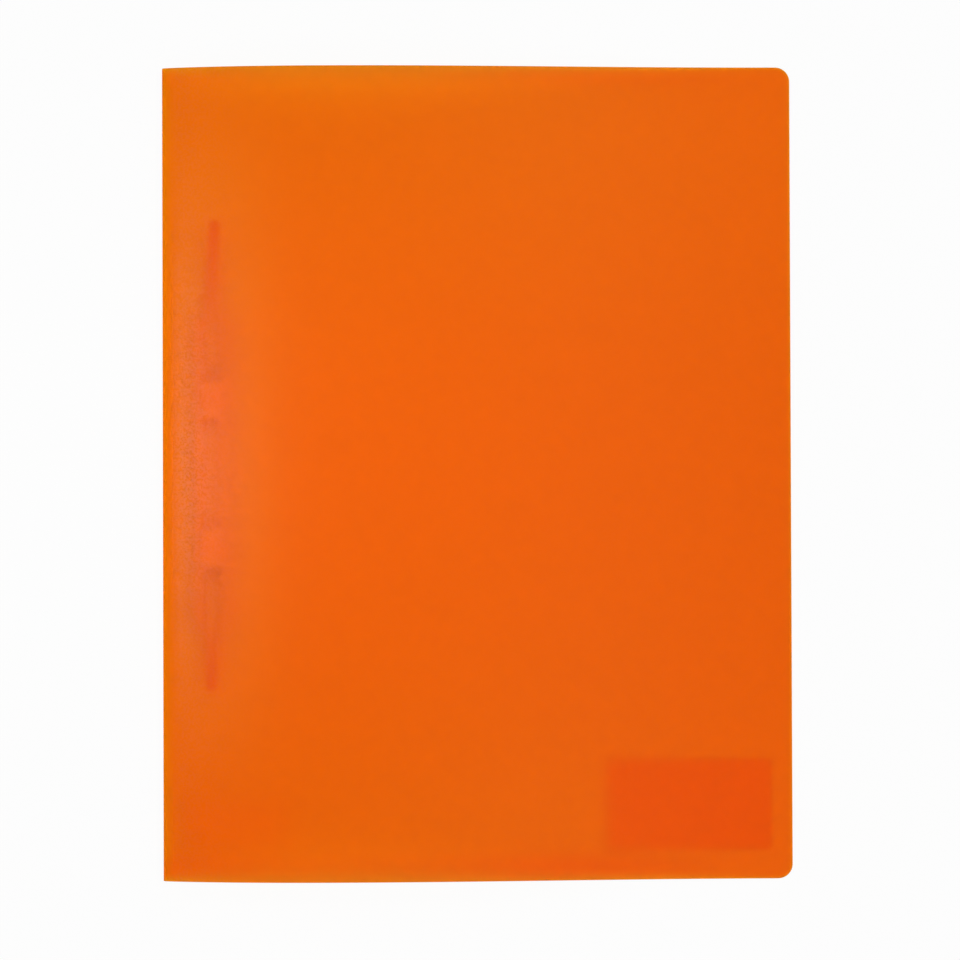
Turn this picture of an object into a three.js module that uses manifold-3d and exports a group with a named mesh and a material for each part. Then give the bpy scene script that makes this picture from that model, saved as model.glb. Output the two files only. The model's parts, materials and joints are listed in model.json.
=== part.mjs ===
import * as THREE from 'three';
import { mergeVertices } from 'three/addons/utils/BufferGeometryUtils.js';
import Module from 'manifold-3d';

// Fastener folder for A4 sheets, lying closed on its back cover. Millimetres, +Z up.
// X runs from the spine to the open edge, Y up the page, and the origin is the middle
// of the footprint at the underside.

// Covers and spine, one creased plastic sheet
const coverWidth = 240;
const coverHeight = 310;
const sheetThickness = 0.5;
const cornerRadius = 5.5;
const foldHeight = 4.7;
const creaseClearance = 0.15;
const bowHeight = 11.15;
const bowPlace = 62;
const bowPower = 2.2;
const edgeGap = 0.1;

// Strip whose two tongues hold the punched sheets
const holeSpacing = 80;
const holeDistance = 19;
const stripWidth = 4;
const stripThickness = 0.6;
const topTongueLength = 56.4;
const bottomTongueLength = 42.5;
const tongueTipRadius = 1.2;
const tongueTipRise = 0.5;
const stripBendRadius = 0.8;
const foldGap = 0.1;

// Channel in the back cover that takes the strip
const channelClearance = 0.4;
const channelHeadroom = 0.1;
const channelEndRoom = 1.5;
const slotClearance = 0.5;

// Cover bar that presses the sheets down
const barWidth = 11.5;
const barLength = 121;
const barBase = 1.2;
const barCornerRadius = 2.5;
const railHeight = 2.6;
const railThickness = 0.9;
const lipReach = 0.9;
const lipThickness = 0.7;
const stopWidth = 1.2;
const stopHeight = 1.0;

// Sliders that lock the tongues down
const sliderLength = 14;
const sliderClearance = 0.15;
const sliderRise = 0.5;
const sliderStart = 21;
const tunnelClearance = 0.3;
const ridgeCount = 4;
const ridgeHeight = 0.4;
const ridgeLength = 0.8;
const ridgeSpacing = 2.4;
const ridgeInset = 0.4;

// Bare paper labels stuck on the outside of the back cover
const labelThickness = 0.1;
const labelClearance = 0.15;
const labelCornerRadius = 1.2;
const labelFromBottom = 11;
const wideLabelWidth = 63;
const wideLabelHeight = 34.5;
const wideLabelFromOpenEdge = 7.9;
const smallLabelWidth = 38;
const smallLabelHeight = 19;
const smallLabelFromSpine = 9;

// Places that follow from the sizes
const spineEdge = -coverWidth / 2;
const openEdge = coverWidth / 2;
const bottomEdge = -coverHeight / 2;
const topEdge = coverHeight / 2;
const holeLine = spineEdge + holeDistance;
const coverStart = sheetThickness + creaseClearance;
const channelRoof = stripThickness + channelHeadroom;
const barBottom = channelRoof + sheetThickness;
const barFloor = barBottom + barBase;
const railTop = barFloor + railHeight;
const tongueLevel = barFloor + foldGap + stripThickness / 2;
const labelFoot = bottomEdge + labelFromBottom;
const wideLabelRight = openEdge - wideLabelFromOpenEdge;
const smallLabelLeft = spineEdge + smallLabelFromSpine;
const wideLabel = {
  x: [wideLabelRight - wideLabelWidth, wideLabelRight],
  y: [labelFoot, labelFoot + wideLabelHeight],
};
const smallLabel = {
  x: [smallLabelLeft, smallLabelLeft + smallLabelWidth],
  y: [labelFoot, labelFoot + smallLabelHeight],
};

const arcSteps = 6;
const bowSteps = 32;

const wasm = await Module();
wasm.setup();

const filmFinish = { color: 0xec6400, roughness: 0.45, metalness: 0 };
const mouldedFinish = { color: 0xe65a08, roughness: 0.4, metalness: 0 };
const coatedStripFinish = { color: 0xdc4f06, roughness: 0.35, metalness: 0 };
const paperFinish = { color: 0xe4e2dc, roughness: 0.9, metalness: 0 };

// Booleans between closed geometries

function toSolid(geometry) {
  const bare = geometry.clone();
  bare.deleteAttribute('normal');
  bare.deleteAttribute('uv');
  const merged = mergeVertices(bare, 1e-4);
  return new wasm.Manifold(new wasm.Mesh({
    numProp: 3,
    vertProperties: new Float32Array(merged.attributes.position.array),
    triVerts: new Uint32Array(merged.index.array),
  }));
}

function toGeometry(solid) {
  const mesh = solid.getMesh();
  const geometry = new THREE.BufferGeometry();
  geometry.setAttribute('position', new THREE.BufferAttribute(mesh.vertProperties, 3));
  geometry.setIndex(new THREE.BufferAttribute(mesh.triVerts, 1));
  const flat = geometry.toNonIndexed();
  flat.computeVertexNormals();
  return flat;
}

// Plain forms

function block(x, y, z) {
  const geometry = new THREE.BoxGeometry(x[1] - x[0], y[1] - y[0], z[1] - z[0]);
  return geometry.translate((x[0] + x[1]) / 2, (y[0] + y[1]) / 2, (z[0] + z[1]) / 2);
}

// A block on the hole line with a flat top of the given half sizes, whose sides run out at
// 45 degrees down to its foot
function slopedBlock(halfWidth, halfLength, z) {
  const corners = [];
  for (const [level, spread] of [[z[0], z[1] - z[0]], [z[1], 0]]) {
    const x = [holeLine - halfWidth - spread, holeLine + halfWidth + spread];
    const y = halfLength + spread;
    corners.push(x[0], -y, level, x[1], -y, level, x[1], y, level, x[0], y, level);
  }
  const geometry = new THREE.BufferGeometry();
  geometry.setAttribute('position', new THREE.BufferAttribute(new Float32Array(corners), 3));
  geometry.setIndex([
    0, 2, 1, 0, 3, 2, 4, 5, 6, 4, 6, 7, 0, 1, 5, 0, 5, 4,
    1, 2, 6, 1, 6, 5, 2, 3, 7, 2, 7, 6, 3, 0, 4, 3, 4, 7,
  ]);
  return geometry;
}

// An outline seen from above with a radius at each corner, counter-clockwise from the
// lower left
function plateOutline(x, y, radii) {
  const [lowerLeft, lowerRight, upperRight, upperLeft] = radii;
  const outline = new THREE.Shape();
  const corner = (centreX, centreY, radius, start) => {
    if (radius > 0) {
      outline.absarc(centreX, centreY, radius, start, start + Math.PI / 2, false);
    } else {
      outline.lineTo(centreX, centreY);
    }
  };
  outline.moveTo(x[0] + lowerLeft, y[0]);
  corner(x[1] - lowerRight, y[0] + lowerRight, lowerRight, -Math.PI / 2);
  corner(x[1] - upperRight, y[1] - upperRight, upperRight, 0);
  corner(x[0] + upperLeft, y[1] - upperLeft, upperLeft, Math.PI / 2);
  corner(x[0] + lowerLeft, y[0] + lowerLeft, lowerLeft, Math.PI);
  return outline;
}

function plate(outline, z) {
  const settings = { depth: z[1] - z[0], bevelEnabled: false, curveSegments: arcSteps };
  return new THREE.ExtrudeGeometry(outline, settings).translate(0, 0, z[0]);
}

// A cross-section drawn in X and Z, run along Y
function runAlongPage(section, y) {
  const settings = { depth: y[1] - y[0], bevelEnabled: false, curveSegments: arcSteps };
  const geometry = new THREE.ExtrudeGeometry(section, settings);
  return geometry.rotateX(Math.PI / 2).translate(0, y[1], 0);
}

// A side view drawn in Y and Z, run along X
function runAcross(section, x) {
  const settings = { depth: x[1] - x[0], bevelEnabled: false, curveSegments: arcSteps };
  const geometry = new THREE.ExtrudeGeometry(section, settings);
  const turn = new THREE.Matrix4().makeBasis(
    new THREE.Vector3(0, 1, 0),
    new THREE.Vector3(0, 0, 1),
    new THREE.Vector3(1, 0, 0),
  );
  return geometry.applyMatrix4(turn).translate(x[0], 0, 0);
}

function part(name, geometry, finish) {
  const mesh = new THREE.Mesh(geometry, new THREE.MeshStandardMaterial(finish));
  mesh.name = name;
  return mesh;
}

// The covers

// A label, or with room to spare around it the shallow recess that takes it up
function labelPlate(label, spare) {
  const radius = labelCornerRadius + spare;
  const x = [label.x[0] - spare, label.x[1] + spare];
  const y = [label.y[0] - spare, label.y[1] + spare];
  const outline = plateOutline(x, y, [radius, radius, radius, radius]);
  return plate(outline, [-spare, labelThickness]);
}

// The sheet rises over the strip, is slit for its two tongues and takes up the labels
function backCover() {
  const x = [spineEdge + coverStart, openEdge];
  const y = [bottomEdge, topEdge];
  const outline = plateOutline(x, y, [0, cornerRadius, cornerRadius, 0]);
  const grooveHalfWidth = stripWidth / 2 + channelClearance;
  const grooveHalfLength = holeSpacing / 2 + channelEndRoom;
  const roofHalfWidth = grooveHalfWidth + sheetThickness;
  const roofHalfLength = grooveHalfLength + sheetThickness;
  const ridge = slopedBlock(roofHalfWidth, roofHalfLength, [sheetThickness / 2, barBottom]);
  const groove = slopedBlock(grooveHalfWidth, grooveHalfLength, [-sheetThickness, channelRoof]);
  let sheet = toSolid(plate(outline, [0, sheetThickness]));
  sheet = sheet.add(toSolid(ridge)).subtract(toSolid(groove));
  for (const side of [-1, 1]) {
    sheet = sheet.subtract(toSolid(slot(holeLine, side, [0, barBottom + sheetThickness])));
  }
  sheet = sheet.subtract(toSolid(labelPlate(wideLabel, labelClearance)));
  sheet = sheet.subtract(toSolid(labelPlate(smallLabel, labelClearance)));
  return toGeometry(sheet);
}

// The opening on a line of holes that a tongue's upright passes through, on one side of
// the middle
function slot(line, side, z) {
  const middle = side * holeSpacing / 2;
  const halfWidth = stripWidth / 2 + slotClearance;
  const halfLength = stripThickness / 2 + slotClearance;
  const x = [line - halfWidth, line + halfWidth];
  return block(x, [middle - halfLength, middle + halfLength], z);
}

// A flat band between the two creases, standing on edge while the folder is closed
function spinePanel() {
  const low = sheetThickness + creaseClearance;
  const high = foldHeight - sheetThickness - creaseClearance;
  const middle = spineEdge + sheetThickness / 2;
  const radius = sheetThickness / 2;
  const section = new THREE.Shape();
  section.absarc(middle, low + radius, radius, Math.PI, 2 * Math.PI, false);
  section.absarc(middle, high - radius, radius, 0, Math.PI, false);
  return runAlongPage(section, [bottomEdge, topEdge]);
}

// Height of the front cover's upper face at a distance from the spine: it springs up from
// the fold, is highest over the fastener's far side and comes down to the back cover
function frontCoverTop(distance) {
  if (distance < bowPlace) {
    const share = (bowPlace - distance) / (bowPlace - coverStart);
    return bowHeight - (bowHeight - foldHeight) * share ** bowPower;
  }
  const edgeHeight = 2 * sheetThickness + edgeGap;
  const share = (distance - bowPlace) / (coverWidth - bowPlace);
  return edgeHeight + (bowHeight - edgeHeight) * (1 + Math.cos(Math.PI * share)) / 2;
}

function frontCover() {
  const upper = [];
  for (let step = 0; step <= bowSteps; step += 1) {
    const distance = coverStart + (coverWidth - coverStart) * step / bowSteps;
    upper.push(new THREE.Vector2(spineEdge + distance, frontCoverTop(distance)));
  }
  const lower = upper.map((point) => new THREE.Vector2(point.x, point.y - sheetThickness));
  const section = new THREE.Shape([...lower, ...upper.reverse()]);
  const sheet = toSolid(runAlongPage(section, [bottomEdge, topEdge]));
  const x = [spineEdge, openEdge];
  const outline = plateOutline(x, [bottomEdge, topEdge], [0, cornerRadius, cornerRadius, 0]);
  const plan = toSolid(plate(outline, [0, bowHeight + sheetThickness]));
  return toGeometry(sheet.intersect(plan));
}

// The fastener, drawn about its own middle

// A flat base under the back cover, with an upright at each end
function stripBase() {
  const half = holeSpacing / 2;
  const outside = half + stripThickness / 2;
  const inside = half - stripThickness / 2;
  const top = tongueLevel - stripThickness / 2 - foldGap;
  const bend = stripBendRadius;
  const innerBend = Math.max(stripBendRadius - stripThickness, 0.1);
  const side = new THREE.Shape();
  side.moveTo(-outside, top);
  side.lineTo(-outside, bend);
  side.absarc(-outside + bend, bend, bend, Math.PI, 1.5 * Math.PI, false);
  side.absarc(outside - bend, bend, bend, 1.5 * Math.PI, 2 * Math.PI, false);
  side.lineTo(outside, top);
  side.lineTo(inside, top);
  side.absarc(inside - innerBend, stripThickness + innerBend, innerBend, 0, -Math.PI / 2, true);
  side.absarc(innerBend - inside, stripThickness + innerBend, innerBend, -Math.PI / 2, Math.PI, true);
  side.lineTo(-inside, top);
  return runAcross(side, [-stripWidth / 2, stripWidth / 2]);
}

// A tongue folded outwards over the bar, drawn for the upper side; half a turn about the
// middle makes the lower one. Its root is round about the fold, and beyond the bar's end it
// rises a little
function tongue(length) {
  const root = holeSpacing / 2;
  const halfThickness = stripThickness / 2;
  const barEnd = barLength / 2;
  const tip = root + length;
  const side = new THREE.Shape();
  side.absarc(root, tongueLevel, halfThickness, Math.PI / 2, 1.5 * Math.PI, false);
  side.lineTo(barEnd, tongueLevel - halfThickness);
  side.lineTo(tip, tongueLevel - halfThickness + tongueTipRise);
  side.lineTo(tip, tongueLevel + halfThickness + tongueTipRise);
  side.lineTo(barEnd, tongueLevel + halfThickness);
  const x = [-stripWidth / 2, stripWidth / 2];
  const strip = toSolid(runAcross(side, x));
  const radius = tongueTipRadius;
  const outline = plateOutline(x, [root - stripThickness, tip], [0, 0, radius, radius]);
  const level = tongueLevel + stripThickness + tongueTipRise;
  return toGeometry(strip.intersect(toSolid(plate(outline, [0, level]))));
}

// A trough whose two rails turn in at the top, so that the sliders can't lift out
function coverBar() {
  const outer = barWidth / 2;
  const inner = outer - railThickness;
  const lip = inner - lipReach;
  const lipBottom = railTop - lipThickness;
  const section = new THREE.Shape([
    [-outer, barBottom], [outer, barBottom], [outer, railTop], [lip, railTop],
    [lip, lipBottom], [inner, lipBottom], [inner, barFloor], [-inner, barFloor],
    [-inner, lipBottom], [-lip, lipBottom], [-lip, railTop], [-outer, railTop],
  ].map(([x, z]) => new THREE.Vector2(x, z)));
  const y = [-barLength / 2, barLength / 2];
  const radius = barCornerRadius;
  const outline = plateOutline([-outer, outer], y, [radius, radius, radius, radius]);
  let bar = toSolid(runAlongPage(section, y));
  bar = bar.intersect(toSolid(plate(outline, [0, railTop + sheetThickness])));
  for (const side of [-1, 1]) {
    bar = bar.subtract(toSolid(slot(0, side, [0, railTop])));
    bar = bar.add(toSolid(sliderStop(side)));
  }
  return toGeometry(bar);
}

// A rib across the trough, where a slider stops when it is pushed clear of its tongue
function sliderStop(side) {
  const middle = side * (sliderStart - sliderClearance - stopWidth / 2);
  const y = [middle - stopWidth / 2, middle + stopWidth / 2];
  const halfWidth = barWidth / 2 - railThickness / 2;
  return block([-halfWidth, halfWidth], y, [barFloor - barBase / 2, barFloor + stopHeight]);
}

// A T-shaped runner held under the rails' lips, with a tunnel for the tongue and thumb ridges
function slider(side) {
  const flangeHalf = barWidth / 2 - railThickness - sliderClearance;
  const neckHalf = flangeHalf - lipReach;
  const bottom = barFloor + sliderClearance;
  const flangeTop = railTop - lipThickness - sliderClearance;
  const top = railTop + sliderRise;
  const tunnelHalf = stripWidth / 2 + tunnelClearance;
  const tunnelTop = tongueLevel + stripThickness / 2 + tunnelClearance;
  const section = new THREE.Shape([
    [-flangeHalf, bottom], [-tunnelHalf, bottom], [-tunnelHalf, tunnelTop],
    [tunnelHalf, tunnelTop], [tunnelHalf, bottom], [flangeHalf, bottom],
    [flangeHalf, flangeTop], [neckHalf, flangeTop], [neckHalf, top],
    [-neckHalf, top], [-neckHalf, flangeTop], [-flangeHalf, flangeTop],
  ].map(([x, z]) => new THREE.Vector2(x, z)));
  const middle = side * (sliderStart + sliderLength / 2);
  const y = [middle - sliderLength / 2, middle + sliderLength / 2];
  let body = toSolid(runAlongPage(section, y));
  for (let ridge = 0; ridge < ridgeCount; ridge += 1) {
    const place = middle + (ridge - (ridgeCount - 1) / 2) * ridgeSpacing;
    const rib = block(
      [ridgeInset - neckHalf, neckHalf - ridgeInset],
      [place - ridgeLength / 2, place + ridgeLength / 2],
      [top - sliderRise, top + ridgeHeight],
    );
    body = body.add(toSolid(rib));
  }
  return toGeometry(body);
}

const sheet = new THREE.Group();
sheet.add(part('back_cover', backCover(), filmFinish));
sheet.add(part('spine_panel', spinePanel(), filmFinish));
sheet.add(part('front_cover', frontCover(), filmFinish));

const lowerTongue = part('prong_bottom', tongue(bottomTongueLength), coatedStripFinish);
lowerTongue.rotation.z = Math.PI;

const fastener = new THREE.Group();
fastener.position.x = holeLine;
fastener.add(part('strip_base', stripBase(), coatedStripFinish));
fastener.add(part('prong_top', tongue(topTongueLength), coatedStripFinish));
fastener.add(lowerTongue);
fastener.add(part('cover_bar', coverBar(), mouldedFinish));
fastener.add(part('slider_top', slider(1), mouldedFinish));
fastener.add(part('slider_bottom', slider(-1), mouldedFinish));

const labels = new THREE.Group();
labels.add(part('wide_label', labelPlate(wideLabel, 0), paperFinish));
labels.add(part('small_label', labelPlate(smallLabel, 0), paperFinish));

const folder = new THREE.Group();
folder.add(sheet, fastener, labels);

export default folder;
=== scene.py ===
"""Looks of a fastener folder: a flat file of translucent orange sheet, lying closed."""

import json
import math
from contextlib import contextmanager

import bmesh
import bpy
from mathutils import Matrix, Vector


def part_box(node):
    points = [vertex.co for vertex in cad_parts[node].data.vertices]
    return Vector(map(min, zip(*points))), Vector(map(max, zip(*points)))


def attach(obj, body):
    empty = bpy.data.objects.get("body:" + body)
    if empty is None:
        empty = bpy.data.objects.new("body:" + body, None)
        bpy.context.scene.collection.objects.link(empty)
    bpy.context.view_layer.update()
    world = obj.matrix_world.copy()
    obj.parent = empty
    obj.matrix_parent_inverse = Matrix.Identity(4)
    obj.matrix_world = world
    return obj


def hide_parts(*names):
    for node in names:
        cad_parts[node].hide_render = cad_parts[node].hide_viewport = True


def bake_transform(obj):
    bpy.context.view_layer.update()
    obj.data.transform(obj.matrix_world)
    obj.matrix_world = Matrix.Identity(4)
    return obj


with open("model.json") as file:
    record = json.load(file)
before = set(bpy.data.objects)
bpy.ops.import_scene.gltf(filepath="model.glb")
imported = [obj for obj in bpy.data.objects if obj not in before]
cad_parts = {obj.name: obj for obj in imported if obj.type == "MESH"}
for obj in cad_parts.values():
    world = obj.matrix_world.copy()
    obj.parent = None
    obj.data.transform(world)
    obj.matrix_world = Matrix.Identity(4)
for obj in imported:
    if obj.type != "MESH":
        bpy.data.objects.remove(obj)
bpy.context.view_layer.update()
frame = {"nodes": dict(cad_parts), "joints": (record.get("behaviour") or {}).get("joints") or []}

MM = 0.001

# Places that come from the frame
SPINE_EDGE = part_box("spine_panel")[0].x
OPEN_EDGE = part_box("back_cover")[1].x
PAGE_FOOT, PAGE_HEAD = (corner.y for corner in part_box("back_cover"))
HOLE_LINE = (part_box("cover_bar")[0].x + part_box("cover_bar")[1].x) / 2
BAR_LOW, BAR_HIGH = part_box("cover_bar")
TOP_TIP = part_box("prong_top")[1].y
BOTTOM_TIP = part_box("prong_bottom")[0].y
JOINTS = {joint["name"]: joint for joint in frame["joints"]}
HOLE_OFFSET = JOINTS["prong_top_fold"]["pos_m"][1]
TONGUE_LEVEL = JOINTS["prong_top_fold"]["pos_m"][2]
SLIDER_BOXES = {side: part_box("slider_" + side) for side in ("top", "bottom")}

# The creased sheet: its fold at the spine, and the bow of the front cover
SHEET = 0.5 * MM
CORNER = 5.5 * MM
CORNER_SEGMENTS = 12
FOLD_RADIUS = 2.35 * MM
FOLD_MIDDLE = FOLD_RADIUS
FOLD_TOP_RADIUS = 2.2 * MM
FOLD_HEIGHT = 2 * FOLD_RADIUS
FOLD_START = 0.65 * MM
FOLD_SEGMENTS = 14
COVER_COLUMNS = 96
BOW_HEIGHT = 11.15 * MM
BOW_PLACE = 62 * MM
BOW_POWER = 2.2
CREASE_DROP = 0.7 * MM
CREASE_REACH = 3 * MM
EDGE_GAP = 0.1 * MM
COVER_WIDTH = OPEN_EDGE - SPINE_EDGE
CREASE_END = 4 * MM
SEAM = 0.01 * MM

# The channel over the strip, its slits and the rise over each label
CHANNEL_HALF_WIDTH = 2.9 * MM
CHANNEL_HALF_LENGTH = 42 * MM
CHANNEL_RISE = 0.7 * MM
CHANNEL_SLOPE = 0.7 * MM
SLIT_HALF_WIDTH = 2.15 * MM
SLIT_HALF_LENGTH = 0.45 * MM
LABEL_RISE = 0.13 * MM
LABEL_SLOPE = 0.3 * MM

# The strip and its tongues
STRIP_WIDTH = 4 * MM
STRIP_THICKNESS = 0.6 * MM
STRIP_BEND = 0.5 * MM
STRIP_EDGE = 0.12 * MM
TIP_RADIUS = 1.2 * MM
TOP_TIP_LEVEL = 6.9 * MM
BOTTOM_TIP_LEVEL = 6.6 * MM
TOP_TIP_LEAN = 1.4 * MM
BOTTOM_TIP_LEAN = 0
RISE_POWER = 1.6
LEAN_POWER = 1.5

# The cover bar
BAR_BASE = 1.2 * MM
RAIL = 0.9 * MM
LIP_REACH = 0.9 * MM
LIP_THICKNESS = 0.7 * MM
BAR_CORNER = 2.5 * MM
BAR_EDGE = 0.18 * MM
SLOT_HALF_WIDTH = 2.15 * MM
SLOT_HALF_LENGTH = 0.45 * MM
STOP_LENGTH = 1.2 * MM
STOP_HEIGHT = 1.0 * MM
RUNNING_GAP = 0.15 * MM

# The sliders
SLIDER_EDGE = 0.15 * MM
TUNNEL_HALF_WIDTH = 2.3 * MM
TUNNEL_TOP = TONGUE_LEVEL + 0.6 * MM
RIDGE_COUNT = 4
RIDGE_SPACING = 2.4 * MM
RIDGE_LENGTH = 0.8 * MM
RIDGE_HEIGHT = 0.4 * MM
RIDGE_INSET = 0.4 * MM


# Selecting and shaping


def only(obj):
    """Leaves this object alone selected and active."""
    bpy.ops.object.select_all(action="DESELECT")
    obj.select_set(True)
    bpy.context.view_layer.objects.active = obj


@contextmanager
def editing(obj, kind="VERT"):
    """Edit mode on one object, with nothing selected."""
    only(obj)
    bpy.ops.object.mode_set(mode="EDIT")
    bpy.ops.mesh.select_mode(type=kind)
    bpy.ops.mesh.select_all(action="DESELECT")
    yield
    bpy.ops.object.mode_set(mode="OBJECT")


def pick(obj, kind, wanted):
    """Selects the vertices, edges or faces whose middle (and normal) pass the test."""
    bpy.ops.mesh.select_mode(type=kind)
    bpy.ops.mesh.select_all(action="DESELECT")
    mesh = bmesh.from_edit_mesh(obj.data)
    for item in {"VERT": mesh.verts, "EDGE": mesh.edges, "FACE": mesh.faces}[kind]:
        if kind == "VERT":
            chosen = wanted(item.co)
        elif kind == "EDGE":
            chosen = wanted((item.verts[0].co + item.verts[1].co) / 2, item)
        else:
            chosen = wanted(item.calc_center_median(), item.normal)
        if chosen:
            item.select_set(True)
    mesh.select_flush_mode()
    bmesh.update_edit_mesh(obj.data)


def near(a, b, room=0.002 * MM):
    return abs(a - b) < room


def shift(x=0.0, y=0.0, z=0.0):
    bpy.ops.transform.translate(value=(x, y, z))


def cut(place, normal, clear=False):
    """Cuts the whole mesh along a plane; with clear, takes off what lies beyond it."""
    bpy.ops.mesh.select_mode(type="VERT")
    bpy.ops.mesh.select_all(action="SELECT")
    bpy.ops.mesh.bisect(plane_co=place, plane_no=normal, clear_outer=clear, use_fill=clear)


def rectangle(name, x, y, z):
    """A flat face at a height, with its normal up."""
    bpy.ops.object.select_all(action="DESELECT")
    bpy.ops.mesh.primitive_plane_add(size=1, location=(sum(x) / 2, sum(y) / 2, z))
    obj = bpy.context.object
    obj.name = name
    obj.scale = (x[1] - x[0], y[1] - y[0], 1)
    bpy.ops.object.transform_apply(location=True, rotation=True, scale=True)
    return obj


def block(name, x, y, z):
    bpy.ops.object.select_all(action="DESELECT")
    middle = [sum(side) / 2 for side in (x, y, z)]
    bpy.ops.mesh.primitive_cube_add(size=1, location=middle)
    obj = bpy.context.object
    obj.name = name
    obj.scale = [side[1] - side[0] for side in (x, y, z)]
    bpy.ops.object.transform_apply(location=True, rotation=True, scale=True)
    return obj


def apply_modifier(obj, kind, **settings):
    only(obj)
    modifier = obj.modifiers.new(kind.title(), kind)
    for name, value in settings.items():
        setattr(modifier, name, value)
    bpy.ops.object.modifier_apply(modifier=modifier.name)


def thicken(obj, thickness):
    """Gives a surface its thickness, away from its normals."""
    apply_modifier(obj, "SOLIDIFY", thickness=thickness, offset=-1, use_even_offset=True)


def soften(obj, width, segments=2, angle=40):
    limit = math.radians(angle)
    apply_modifier(
        obj, "BEVEL", width=width, segments=segments, limit_method="ANGLE",
        angle_limit=limit, use_clamp_overlap=True, miter_outer="MITER_ARC",
    )


def smooth(obj, angle=30):
    only(obj)
    bpy.ops.object.shade_smooth_by_angle(angle=math.radians(angle))


def combine(obj, tool, operation):
    """Joins another solid to this one, or cuts it away, and removes it."""
    apply_modifier(obj, "BOOLEAN", object=tool, operation=operation, solver="EXACT")
    bpy.data.objects.remove(tool)


def clean(obj):
    """Merges doubles and turns all faces outwards."""
    with editing(obj):
        bpy.ops.mesh.select_all(action="SELECT")
        bpy.ops.mesh.remove_doubles(threshold=0.001 * MM)
        bpy.ops.mesh.normals_make_consistent(inside=False)


# The creased sheet


def cover_top(distance):
    """Height of the closed front cover's upper face at a distance from the spine."""
    if distance < BOW_PLACE:
        share = (BOW_PLACE - distance) / (BOW_PLACE - FOLD_START)
        drop = CREASE_DROP * math.exp(-distance / CREASE_REACH)
        return BOW_HEIGHT - (BOW_HEIGHT - FOLD_HEIGHT) * share**BOW_POWER - drop
    edge_height = 2 * SHEET + EDGE_GAP
    share = (distance - BOW_PLACE) / (COVER_WIDTH - BOW_PLACE)
    return edge_height + (BOW_HEIGHT - edge_height) * (1 + math.cos(math.pi * share)) / 2


def cover_slope(distance):
    step = 0.05 * MM
    return (cover_top(distance + step) - cover_top(distance - step)) / (2 * step)


def rounded_page(name, x, z):
    """The page's outline from one distance to the open edge, with its two round corners."""
    obj = rectangle(name, x, (PAGE_FOOT, PAGE_HEAD), z)
    with editing(obj):
        pick(obj, "VERT", lambda place: near(place.x, OPEN_EDGE))
        bpy.ops.mesh.bevel(offset=CORNER, segments=CORNER_SEGMENTS, affect="VERTICES")
    return obj


def extrude_edge(obj, place, route):
    """Draws the edge that runs up the page at a place on through the points of a route."""
    with editing(obj, "EDGE"):
        pick(obj, "EDGE", lambda middle, edge: near(middle.x, place.x) and near(
            middle.z, place.z) and abs(edge.verts[0].co.y - edge.verts[1].co.y) > CORNER)
        for point in route:
            step = point - place
            bpy.ops.mesh.extrude_region_move(
                TRANSFORM_OT_translate={"value": (step.x, 0, step.z)})
            place = point


def fold_arc(centre, radius, start, end, steps=10):
    """Points on an arc seen from the foot of the page, with angles from +X towards +Z."""
    angles = [start + (end - start) * step / steps for step in range(steps + 1)]
    return [centre + radius * Vector((math.cos(a), 0, math.sin(a))) for a in angles]


def front_sheet():
    start = SPINE_EDGE + CREASE_END + SEAM
    obj = rounded_page("front_sheet", (start, OPEN_EDGE), 0)
    with editing(obj):
        for column in range(1, COVER_COLUMNS):
            share = column / COVER_COLUMNS
            place = start + (OPEN_EDGE - start) * share
            cut((place, 0, 0), (1, 0, 0))
        mesh = bmesh.from_edit_mesh(obj.data)
        places = sorted({round(vertex.co.x / MM, 3) for vertex in mesh.verts})
        for place in places:
            pick(obj, "VERT", lambda point: near(point.x, place * MM) and near(point.z, 0))
            shift(z=cover_top(place * MM - SPINE_EDGE))
    thicken(obj, SHEET)
    smooth(obj)
    return obj


def spine_fold():
    """The upper half of the round fold, from the middle of the spine to the front cover."""
    # The arc goes over into the cover where both have the same slope
    meet = FOLD_TOP_RADIUS
    for _ in range(8):
        slope = math.atan(cover_slope(meet))
        meet = FOLD_TOP_RADIUS * (1 - math.sin(slope))
    centre_height = cover_top(meet) - FOLD_TOP_RADIUS * math.cos(slope)
    centre = Vector((SPINE_EDGE + FOLD_TOP_RADIUS, 0, centre_height))
    route = fold_arc(centre, FOLD_TOP_RADIUS, math.pi, math.pi / 2 + slope)
    steps = 6
    for step in range(1, steps + 1):
        distance = meet + (CREASE_END - SEAM - meet) * step / steps
        route.append(Vector((SPINE_EDGE + distance, 0, cover_top(distance))))
    start = Vector((SPINE_EDGE, 0, FOLD_MIDDLE + SEAM))
    flap_edge = SPINE_EDGE - 1 * MM
    obj = rectangle("spine_fold", (flap_edge, SPINE_EDGE), (PAGE_FOOT, PAGE_HEAD), start.z)
    extrude_edge(obj, start, route)
    with editing(obj):
        pick(obj, "VERT", lambda place: near(place.x, flap_edge))
        bpy.ops.mesh.delete(type="VERT")
    clean_surface(obj, Vector((-1, 0, 1)))
    thicken(obj, SHEET)
    smooth(obj)
    return obj


def clean_surface(obj, outwards):
    """Merges doubles and turns an open surface's faces towards one side."""
    with editing(obj):
        bpy.ops.mesh.select_all(action="SELECT")
        bpy.ops.mesh.remove_doubles(threshold=0.0005 * MM)
        bpy.ops.mesh.normals_make_consistent(inside=False)
        mesh = bmesh.from_edit_mesh(obj.data)
        if sum(face.normal.dot(outwards) * face.calc_area() for face in mesh.faces) < 0:
            bpy.ops.mesh.flip_normals()


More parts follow.
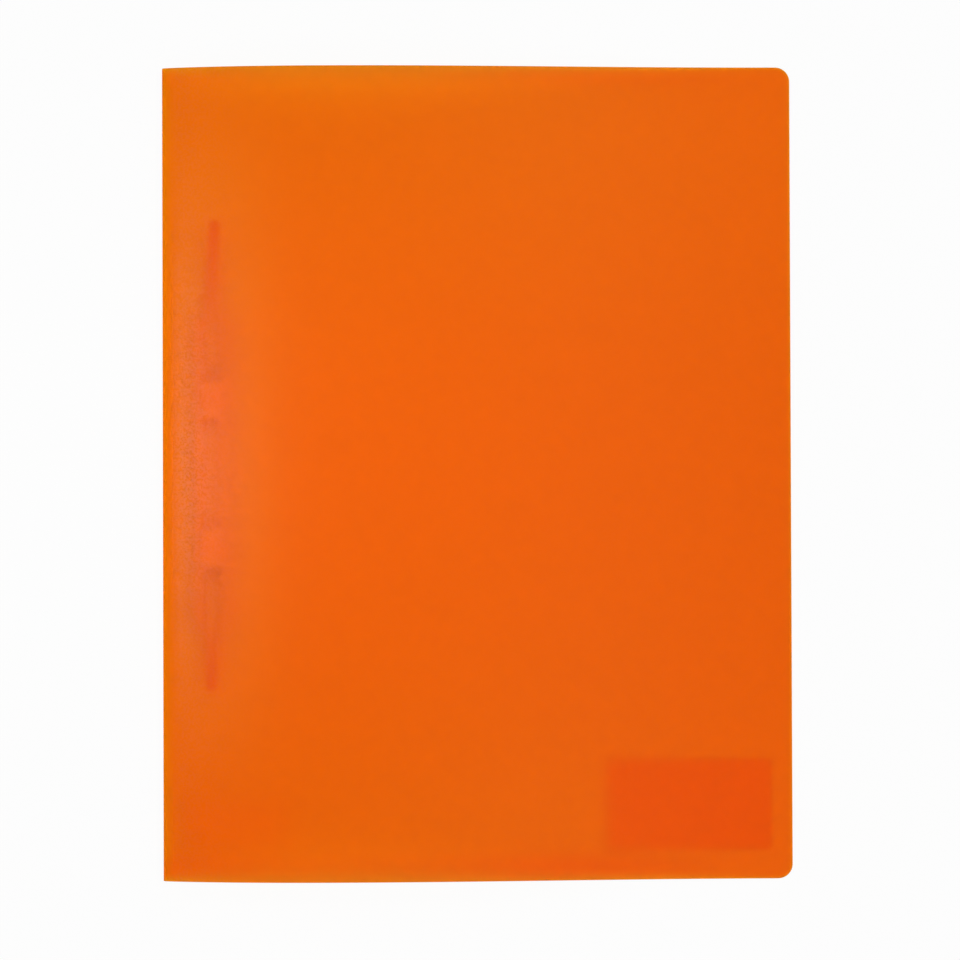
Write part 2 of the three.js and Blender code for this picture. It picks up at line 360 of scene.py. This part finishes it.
def back_sheet():
    """The back cover with its channel, slits and label places, and the fold's lower half."""
    start = SPINE_EDGE + FOLD_RADIUS
    obj = rounded_page("back_sheet", (start, OPEN_EDGE), SHEET)
    inner_radius = FOLD_RADIUS - SHEET
    centre = Vector((start, 0, FOLD_RADIUS))
    route = fold_arc(centre, inner_radius, -math.pi / 2, -math.pi, FOLD_SEGMENTS)[1:]
    route[-1].z -= SEAM
    extrude_edge(obj, Vector((start, 0, SHEET)), route)
    foot = (CHANNEL_HALF_WIDTH + CHANNEL_SLOPE, CHANNEL_HALF_LENGTH + CHANNEL_SLOPE)
    raise_patch(obj, (HOLE_LINE, 0), foot, CHANNEL_SLOPE, CHANNEL_RISE)
    for node in ("wide_label", "small_label"):
        low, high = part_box(node)
        middle = (low + high) / 2
        half = (high - low) / 2 + Vector((LABEL_SLOPE, LABEL_SLOPE, 0))
        raise_patch(obj, middle.xy, half.xy, LABEL_SLOPE, LABEL_RISE)
    for side in (-1, 1):
        open_slit(obj, (HOLE_LINE, side * HOLE_OFFSET))
    clean_surface(obj, Vector((0, 0, 1)))
    thicken(obj, SHEET)
    smooth(obj, 12)
    return obj


def frame_lines(middle, half):
    """Cuts the four lines of a rectangle right across the sheet."""
    for side in (-1, 1):
        cut((middle[0] + side * half[0], 0, 0), (1, 0, 0))
        cut((0, middle[1] + side * half[1], 0), (0, 1, 0))


def inside(place, middle, half, room=0.001 * MM):
    return (abs(place.x - middle[0]) < half[0] + room
            and abs(place.y - middle[1]) < half[1] + room)


def lay_out(obj):
    """A UV map with each point's place on the closed page, for what follows the sheet."""
    layer = obj.data.uv_layers.new(name="page")
    for loop in obj.data.loops:
        place = obj.data.vertices[loop.vertex_index].co
        layer.data[loop.index].uv = (
            (place.x - SPINE_EDGE) / COVER_WIDTH, (place.y - PAGE_FOOT) / (PAGE_HEAD - PAGE_FOOT))


def raise_patch(obj, middle, half, slope, rise):
    """Presses a flat-topped rectangle with sloping sides up out of the sheet."""
    top = (half[0] - slope, half[1] - slope)
    with editing(obj):
        frame_lines(middle, half)
        frame_lines(middle, top)
        pick(obj, "VERT", lambda place: inside(place, middle, top))
        shift(z=rise)


def open_slit(obj, middle):
    """Takes a slit out of the sheet for a tongue."""
    half = (SLIT_HALF_WIDTH, SLIT_HALF_LENGTH)
    with editing(obj):
        frame_lines(middle, half)
        pick(obj, "FACE", lambda place, normal: inside(place, middle, half, -0.01 * MM))
        bpy.ops.mesh.delete(type="FACE")


# The fastener


def strip_half(name, side, tip, tip_level, lean):
    """Half of the folded strip: from its middle under the sheet, up through the slit and
    out over the bar to the tongue's tip."""
    low = STRIP_THICKNESS / 2
    centre_line = [Vector((0, 0, low))]
    bend_steps = 6
    for step in range(bend_steps + 1):
        angle = math.pi / 2 * step / bend_steps
        y = HOLE_OFFSET - STRIP_BEND + STRIP_BEND * math.sin(angle)
        centre_line.append(Vector((0, y, low + STRIP_BEND - STRIP_BEND * math.cos(angle))))
    for step in range(bend_steps + 1):
        angle = math.pi / 2 * step / bend_steps
        y = HOLE_OFFSET + STRIP_BEND - STRIP_BEND * math.cos(angle)
        z = TONGUE_LEVEL - STRIP_BEND + STRIP_BEND * math.sin(angle)
        centre_line.append(Vector((0, y, z)))
    bar_end = BAR_HIGH.y
    length = abs(tip)
    steps = 16
    for step in range(steps + 1):
        share = step / steps
        along = bar_end + (length - bar_end) * share
        rise = (tip_level - TONGUE_LEVEL) * (1 - (1 - share) ** RISE_POWER)
        centre_line.append(Vector((lean * share**LEAN_POWER, along, TONGUE_LEVEL + rise)))
    flap_edge = -1 * MM
    obj = rectangle(name, (-STRIP_WIDTH / 2, STRIP_WIDTH / 2), (flap_edge, 0), centre_line[0].z)
    with editing(obj, "EDGE"):
        pick(obj, "EDGE", lambda middle, edge: near(middle.y, 0) and near(middle.x, 0))
        place = centre_line[0]
        for point in centre_line[1:]:
            step = tuple(point - place)
            bpy.ops.mesh.extrude_region_move(TRANSFORM_OT_translate={"value": step})
            place = point
        pick(obj, "VERT", lambda place: near(place.y, flap_edge))
        bpy.ops.mesh.delete(type="VERT")
        pick(obj, "VERT", lambda place: near(place.y, length))
        bpy.ops.mesh.bevel(offset=TIP_RADIUS, segments=6, affect="VERTICES")
    clean_surface(obj, Vector((0, 0, 1)))
    apply_modifier(obj, "SOLIDIFY", thickness=STRIP_THICKNESS, offset=0, use_even_offset=True)
    soften(obj, STRIP_EDGE)
    if side < 0:
        obj.data.transform(Matrix.Rotation(math.pi, 4, "Z"))
    obj.data.transform(Matrix.Translation((HOLE_LINE, 0, 0)))
    smooth(obj)
    return obj


def section_piece(name, cells, y):
    """A solid whose cross-section is made of rectangles (x, z) that share whole edges."""
    obj = None
    for x, z in cells:
        bpy.ops.object.select_all(action="DESELECT")
        middle = (sum(x) / 2, y[0], sum(z) / 2)
        bpy.ops.mesh.primitive_plane_add(size=1, location=middle, rotation=(math.pi / 2, 0, 0))
        cell = bpy.context.object
        cell.scale = (x[1] - x[0], z[1] - z[0], 1)
        bpy.ops.object.transform_apply(location=True, rotation=True, scale=True)
        if obj is None:
            obj = cell
        else:
            obj.select_set(True)
            bpy.context.view_layer.objects.active = obj
            bpy.ops.object.join()
    obj.name = name
    with editing(obj, "FACE"):
        bpy.ops.mesh.select_all(action="SELECT")
        bpy.ops.mesh.remove_doubles(threshold=0.001 * MM)
        bpy.ops.mesh.extrude_region_move(
            TRANSFORM_OT_translate={"value": (0, y[1] - y[0], 0)})
    clean(obj)
    return obj


def mirrored(cells):
    """The cells of a right half with those of the left half."""
    return cells + [((-x[1], -x[0]), z) for x, z in cells]


def cover_bar():
    """A trough with turned-in lips, two slots and a stop rib before each slider."""
    outer = BAR_HIGH.x - HOLE_LINE
    inner = outer - RAIL
    lip = inner - LIP_REACH
    bottom, top = BAR_LOW.z, BAR_HIGH.z
    floor = bottom + BAR_BASE
    under_lip = top - LIP_THICKNESS
    slider_low = SLIDER_BOXES["top"][0]
    cells = mirrored([
        ((0, inner), (bottom, floor)),
        ((inner, outer), (bottom, floor)),
        ((inner, outer), (floor, under_lip)),
        ((inner, outer), (under_lip, top)),
        ((lip, inner), (under_lip, top)),
    ])
    obj = section_piece("bar", cells, (BAR_LOW.y, BAR_HIGH.y))
    round_ends(obj, outer, BAR_HIGH.y, BAR_CORNER)
    for side in (-1, 1):
        middle = side * HOLE_OFFSET
        y = (middle - SLOT_HALF_LENGTH, middle + SLOT_HALF_LENGTH)
        slot = block("slot", (-SLOT_HALF_WIDTH, SLOT_HALF_WIDTH), y, (bottom - 1 * MM, top))
        combine(obj, slot, "DIFFERENCE")
        end = side * (slider_low.y - RUNNING_GAP)
        y = sorted((end, end - side * STOP_LENGTH))
        half = inner + RAIL / 2
        stop = block("stop", (-half, half), y, (floor - BAR_BASE / 2, floor + STOP_HEIGHT))
        combine(obj, stop, "UNION")
    obj.data.transform(Matrix.Translation((HOLE_LINE, 0, 0)))
    soften(obj, BAR_EDGE)
    smooth(obj)
    return obj


def round_ends(obj, half_width, half_length, radius, steps=6):
    """Rounds the four upright corners of a long piece by planes laid round each."""
    with editing(obj):
        for x_side in (-1, 1):
            for y_side in (-1, 1):
                centre = Vector((x_side * (half_width - radius), y_side * (half_length - radius), 0))
                for step in range(1, steps):
                    angle = math.pi / 2 * step / steps
                    way = Vector((x_side * math.cos(angle), y_side * math.sin(angle), 0))
                    cut(centre + way * radius, way, clear=True)


def slider(side):
    """A T-shaped runner under the rails' lips, with a tunnel for the tongue and ridges."""
    low, high = SLIDER_BOXES[side]
    flange = high.x - HOLE_LINE
    neck = flange - LIP_REACH
    bottom = low.z
    top = high.z - RIDGE_HEIGHT
    flange_top = BAR_HIGH.z - LIP_THICKNESS - RUNNING_GAP
    cells = mirrored([
        ((TUNNEL_HALF_WIDTH, neck), (bottom, TUNNEL_TOP)),
        ((neck, flange), (bottom, TUNNEL_TOP)),
        ((0, TUNNEL_HALF_WIDTH), (TUNNEL_TOP, flange_top)),
        ((TUNNEL_HALF_WIDTH, neck), (TUNNEL_TOP, flange_top)),
        ((neck, flange), (TUNNEL_TOP, flange_top)),
        ((0, TUNNEL_HALF_WIDTH), (flange_top, top)),
        ((TUNNEL_HALF_WIDTH, neck), (flange_top, top)),
    ])
    obj = section_piece(side + "_slider", cells, (low.y, high.y))
    half = neck - RIDGE_INSET
    middle = (low.y + high.y) / 2
    for ridge in range(RIDGE_COUNT):
        place = middle + (ridge - (RIDGE_COUNT - 1) / 2) * RIDGE_SPACING
        y = (place - RIDGE_LENGTH / 2, place + RIDGE_LENGTH / 2)
        rib = block("ridge", (-half, half), y, (top - RIDGE_HEIGHT, high.z))
        combine(obj, rib, "UNION")
    obj.data.transform(Matrix.Translation((HOLE_LINE, 0, 0)))
    soften(obj, SLIDER_EDGE)
    smooth(obj)
    return obj


# Finishes


class Wire:
    """A number, colour or vector in a finish; sums and products of wires add the nodes."""

    def __init__(self, tree, socket=None):
        self.tree = tree
        self.socket = socket

    def add(self, kind, settings, inputs, output=0):
        """Adds a node of a kind, with its settings and then its inputs' values or wires."""
        node = self.tree.nodes.new("ShaderNode" + kind)
        for name, value in settings.items():
            setattr(node, name, value)
        for name, value in inputs.items():
            if isinstance(value, Wire):
                self.tree.links.new(value.socket, node.inputs[name])
            else:
                node.inputs[name].default_value = value
        return Wire(self.tree, node.outputs[output] if node.outputs else None)

    def maths(self, operation, first, second):
        return self.add("Math", {"operation": operation}, {0: first, 1: second})

    def __add__(self, other):
        return self.maths("ADD", self, other)

    def __radd__(self, other):
        return self.maths("ADD", other, self)

    def __sub__(self, other):
        return self.maths("SUBTRACT", self, other)

    def __rsub__(self, other):
        return self.maths("SUBTRACT", other, self)

    def __mul__(self, other):
        return self.maths("MULTIPLY", self, other)

    def __rmul__(self, other):
        return self.maths("MULTIPLY", other, self)

    def __pow__(self, other):
        return self.maths("POWER", self, other)


def new_finish(name):
    """A material with an empty tree, as a bare wire to add nodes by."""
    material = bpy.data.materials.new(name)
    material.use_nodes = True
    material.node_tree.nodes.clear()
    return material, Wire(material.node_tree)


def grade(wire, factor, low, high):
    """A colour between two by a factor."""
    settings = {"data_type": "RGBA", "blend_type": "MIX"}
    return wire.add("Mix", settings, {0: factor, 6: low, 7: high}, output=2)


def noise(wire, place, scale, detail=2.0, roughness=0.5):
    inputs = {"Vector": place, "Scale": scale, "Detail": detail, "Roughness": roughness}
    return wire.add("TexNoise", {}, inputs)


def fade(wire, value, start, end, low=0.0, high=1.0):
    """A smooth step from low to high while a value goes from start to end."""
    return wire.add("MapRange", {"interpolation_type": "SMOOTHSTEP"}, {
        "Value": value, "From Min": start, "From Max": end, "To Min": low, "To Max": high})


def part_of(wire, vector, axis):
    """One of a vector's three numbers."""
    return wire.add("SeparateXYZ", {}, {"Vector": vector}, output=axis)


def surface(wire, inputs):
    shader = wire.add("BsdfPrincipled", {}, inputs)
    wire.add("OutputMaterial", {}, {"Surface": shader})


def film_colour_and_painted_light(wire, across, upwards, glow, broad):
    """The sheet's colour by its place on the page, from the spine across and from the foot up, with
    painted light, painted shade and a painted highlight in it.
    """
    # Painted light: yellower towards the head, over a little random tone from the broad noise
    lean = 0.55 * upwards**4 + 0.03 * (broad - 0.5)
    tone_and_painted_light = grade(wire, lean, (0.979, 0.405, 0.0005, 1), (0.991, 0.52, 0.0008, 1))

    # Painted light: brighter towards the head and foot, and yellower there where the cover stands
    # high
    from_middle = 2 * upwards - 1
    raised = fade(wire, across, start=0.55, end=0.95, low=1.0, high=0.0)
    painted_edge_light = grade(wire, raised, (0.999, 0.42, 0.0005, 1), (0.999, 0.455, 0.0005, 1))
    tone_and_painted_light = grade(wire, 0.7 * from_middle * from_middle, tone_and_painted_light, painted_edge_light)
    # Painted highlight: paler and yellower where the highlight lies beside the spine
    tone_and_painted_light = grade(wire, 0.9 * glow, tone_and_painted_light, (0.999, 0.497, 0.0008, 1))

    # Painted shade: redder at the head and foot rims, most where the cover stands high
    foot = fade(wire, upwards, start=0.0, end=0.04, low=1.0, high=0.0)
    head = fade(wire, upwards, start=0.972, end=1.0, low=0.0, high=0.8)
    from_spine = fade(wire, across, start=0.0, end=0.12, low=0.6, high=1.0)
    painted_rim_shade = (foot + head) * from_spine * raised
    return grade(wire, painted_rim_shade, tone_and_painted_light, (0.999, 0.26, 0.0005, 1))


def film_finish():
    """Translucent sheet: light scatters through it, and its face has a fine pebbled grain."""
    material, wire = new_finish("translucent film")
    place = wire.add("TexCoord", {}, {}, output="Object")
    grain = noise(wire, place, 1100, 2, 0.55)
    pebbles = fade(wire, grain, start=0.36, end=0.64)
    broad = noise(wire, place, 9, 2)
    page = wire.add("UVMap", {"uv_map": "page"}, {})
    across = part_of(wire, page, "X")
    upwards = part_of(wire, page, "Y")

    # Satin but for the fold itself, and a painted highlight in the colour beside the spine, a little
    # above the middle
    gloss = fade(wire, across, start=0.5 * MM / COVER_WIDTH, end=8 * MM / COVER_WIDTH)
    near_spine = fade(wire, across, start=0.03, end=0.15, low=1.0, high=0.15)
    inwards = fade(wire, across, start=0.07, end=0.22, low=1.0, high=0.0)
    glow_middle = 0.56
    from_glow = upwards - glow_middle
    along = fade(wire, from_glow * from_glow, start=0.0, end=0.24, low=1.0, high=0.0)
    glow = gloss * inwards * along

    tone_and_painted_light = film_colour_and_painted_light(wire, across, upwards, glow, broad)
    bump = wire.add("Bump", {}, {"Strength": 0.25, "Distance": 0.00002, "Height": grain})
    outer = 1 - wire.add("NewGeometry", {}, {}, output="Backfacing")
    surface(wire, {
        "Base Color": tone_and_painted_light,
        "Roughness": 0.97,
        "IOR": 2.5,
        "Transmission Weight": 0.97,
        "Specular Tint": (0.25, 0.11, 0.0, 1),
        "Alpha": outer,
        "Coat Weight": gloss * (0.62 + 0.8 * near_spine * (pebbles - 0.5)),
        "Coat Roughness": 0.35,
        "Normal": bump,
    })
    return material


def moulded_finish(name, low, high, trough=None):
    """Smooth moulded plastic, with painted light making it a little paler down in the trough that is
    given.
    """
    material, wire = new_finish(name)
    place = wire.add("TexCoord", {}, {}, output="Object")
    grain = noise(wire, place, 2500, 2)
    broad = noise(wire, place, 60, 2)
    colour = grade(wire, broad, (*low, 1), (*high, 1))
    # Painted light: paler down in the trough, where the rails shade it
    if trough:
        level = part_of(wire, place, "Z")
        depth = wire.add("MapRange", {}, {
            "Value": level, "From Min": BAR_HIGH.z - LIP_THICKNESS, "From Max": BAR_LOW.z + BAR_BASE})
        colour = grade(wire, depth, colour, (*trough, 1))
    bump = wire.add("Bump", {}, {"Strength": 0.15, "Distance": 0.00003, "Height": grain})
    surface(wire, {"Base Color": colour, "Roughness": 0.36 + 0.1 * broad, "Normal": bump})
    return material


def coated_finish():
    material, wire = new_finish("coated strip")
    place = wire.add("TexCoord", {}, {}, output="Object")
    grain = noise(wire, place, 900, 2)
    broad = noise(wire, place, 40, 2)
    page = wire.add("UVMap", {"uv_map": "page"}, {})
    from_middle = 2 * part_of(wire, page, "Y") - 1
    outer = fade(wire, from_middle * from_middle, start=0.12, end=0.18)
    # Painted light: paler over the bar near the fold, where the tongue and bar shade it; the tips
    # keep a deeper tone
    painted_light_near_fold = grade(wire, broad, (0.998, 0.35, 0.011, 1), (0.998, 0.38, 0.014, 1))
    colour = grade(wire, outer, painted_light_near_fold, (0.92, 0.2, 0.007, 1))
    bump = wire.add("Bump", {}, {"Strength": 0.12, "Distance": 0.00004, "Height": grain})
    surface(wire, {"Base Color": colour, "Roughness": 0.26 + 0.12 * broad, "Normal": bump})
    return material


def paper_finish(name, glued_side):
    material, wire = new_finish(name)
    place = wire.add("TexCoord", {}, {}, output="Object")
    fibre = noise(wire, place, 700, 4, 0.6)
    broad = noise(wire, place, 50, 2)
    plain = grade(wire, broad, (0.80, 0.79, 0.75, 1), (0.86, 0.85, 0.82, 1))
    glued = grade(wire, broad, (*glued_side, 1), (*(1.04 * part for part in glued_side), 1))
    facing = wire.add("NewGeometry", {}, {}, output="Normal")
    upwards = part_of(wire, facing, "Z")
    colour = grade(wire, upwards, plain, glued)
    bump = wire.add("Bump", {}, {"Strength": 0.2, "Distance": 0.00003, "Height": fibre})
    surface(wire, {"Base Color": colour, "Roughness": 0.85, "Normal": bump})
    return material


def dress(obj, material):
    obj.data.materials.clear()
    obj.data.materials.append(material)


# The studio


def floor():
    """A pale table top that shows nearly white to the camera and keeps a soft shadow."""
    reach = 3
    below = 0.1 * MM
    shown_white = 0.95
    obj = rectangle("table", (-reach, reach), (-reach, reach), -below)
    material, wire = new_finish("pale table")
    place = wire.add("TexCoord", {}, {}, output="Object")
    cloud = noise(wire, place, 3, 2)
    colour = grade(wire, cloud, (0.88, 0.88, 0.88, 1), (0.90, 0.90, 0.90, 1))
    matt = wire.add("BsdfDiffuse", {}, {"Color": colour})
    glow = wire.add("Emission", {}, {"Color": (1, 1, 1, 1), "Strength": 1.0})
    seen = wire.add("LightPath", {}, {}, output="Is Camera Ray")
    mixed = wire.add("MixShader", {}, {0: shown_white * seen, 1: matt, 2: glow})
    wire.add("OutputMaterial", {}, {"Surface": mixed})
    dress(obj, material)


def studio_sky():
    """Soft light from all round, with a dark ceiling; the camera sees plain white."""
    world = bpy.data.worlds.new("studio")
    world.use_nodes = True
    world.node_tree.nodes.clear()
    bpy.context.scene.world = world
    wire = Wire(world.node_tree)
    way = wire.add("TexCoord", {}, {}, output="Generated")
    height = part_of(wire, way, "Z")
    headwards = part_of(wire, way, "Y")
    tilt = math.radians(8)
    dark_way = (-math.sin(tilt), 0, math.cos(tilt))
    settings = {"operation": "DOT_PRODUCT"}
    towards_dark = wire.add("VectorMath", settings, {0: way, 1: dark_way}, output="Value")
    ceiling = fade(wire, towards_dark, start=0.72, end=0.82, low=1.0, high=0.01)
    skirting = fade(wire, height, start=0.15, end=0.64, low=0.05, high=1.0)
    strength = 1.56 * ceiling * skirting * (1 + 0.06 * headwards)
    light = wire.add("Background", {}, {"Color": (1, 1, 1, 1), "Strength": strength})
    white = wire.add("Background", {}, {"Color": (1, 1, 1, 1), "Strength": 1.0})
    seen = wire.add("LightPath", {}, {}, output="Is Camera Ray")
    mixed = wire.add("MixShader", {}, {0: seen, 1: light, 2: white})
    wire.add("OutputWorld", {}, {"Surface": mixed})


def softbox(name, place, aim, size, spread, power):
    """A soft rectangular lamp that shines towards a point, through a grid that narrows it."""
    data = bpy.data.lights.new(name, "AREA")
    data.shape = "RECTANGLE"
    data.size, data.size_y = size
    data.spread = math.radians(spread)
    data.energy = power
    lamp = bpy.data.objects.new(name, data)
    lamp.location = place
    lamp.rotation_euler = (Vector(place) - Vector(aim)).to_track_quat("Z", "Y").to_euler()
    bpy.context.scene.collection.objects.link(lamp)


def camera():
    """Straight above, turned and tipped by the little that the photograph is."""
    height = 1.2
    field = 0.36735
    aim = Vector((1.1 * MM, -2.56 * MM, 0))
    tip = math.radians(0.67)
    turn = math.radians(-0.19)
    data = bpy.data.cameras.new("camera")
    data.sensor_width = 36
    data.lens = data.sensor_width * height / field
    obj = bpy.data.objects.new("camera", data)
    obj.rotation_euler = (tip, 0, turn)
    back = obj.rotation_euler.to_matrix() @ Vector((0, 0, height))
    obj.location = aim + back
    data.clip_end = 20
    bpy.context.scene.collection.objects.link(obj)
    bpy.context.scene.camera = obj


# Putting it together

camera()
floor()
studio_sky()
softbox("left softbox", place=(-0.76, 0.014, 1.3), aim=(-0.12, 0.014, 0), size=(0.08, 0.3),
        spread=11, power=0.0135)

film = film_finish()
# The bar's trough colour is painted light
bar_finish = moulded_finish("moulded bar", (0.98, 0.26, 0.010), (0.99, 0.29, 0.014),
                            trough=(0.998, 0.37, 0.016))
# Painted light: the sliders are the bar's plastic painted a little lighter, against the shade near
# the film
runner_finish_painted_lighter = moulded_finish("moulded slider", (0.98, 0.28, 0.012), (0.99, 0.31, 0.016))
coated = coated_finish()
paper = {
    "wide_label": paper_finish("wide label paper", (0.87, 0.56, 0.10)),
    "small_label": paper_finish("small label paper", (0.90, 0.80, 0.40)),
}

back = back_sheet()
lay_out(back)
dress(back, film)
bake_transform(back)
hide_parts("back_cover")

front = front_sheet()
lay_out(front)
dress(front, film)
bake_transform(front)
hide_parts("front_cover")

fold = spine_fold()
lay_out(fold)
dress(fold, film)
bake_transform(fold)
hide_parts("spine_panel")

for name, side, tip, level, lean in (
    ("top", 1, TOP_TIP, TOP_TIP_LEVEL, TOP_TIP_LEAN),
    ("bottom", -1, BOTTOM_TIP, BOTTOM_TIP_LEVEL, BOTTOM_TIP_LEAN),
):
    strip = strip_half(name + "_strip", side, tip, level, lean)
    lay_out(strip)
    dress(strip, coated)
    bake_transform(strip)
    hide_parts("prong_" + name, "strip_base")

    runner = slider(name)
    dress(runner, runner_finish_painted_lighter)
    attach(runner, "slider_" + name)
    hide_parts("slider_" + name)

bar = cover_bar()
dress(bar, bar_finish)
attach(bar, "back")
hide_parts("cover_bar")

for node in ("wide_label", "small_label"):
    dress(frame["nodes"][node], paper[node])

bpy.context.scene.view_settings.view_transform = "Standard"

bpy.context.view_layer.update()
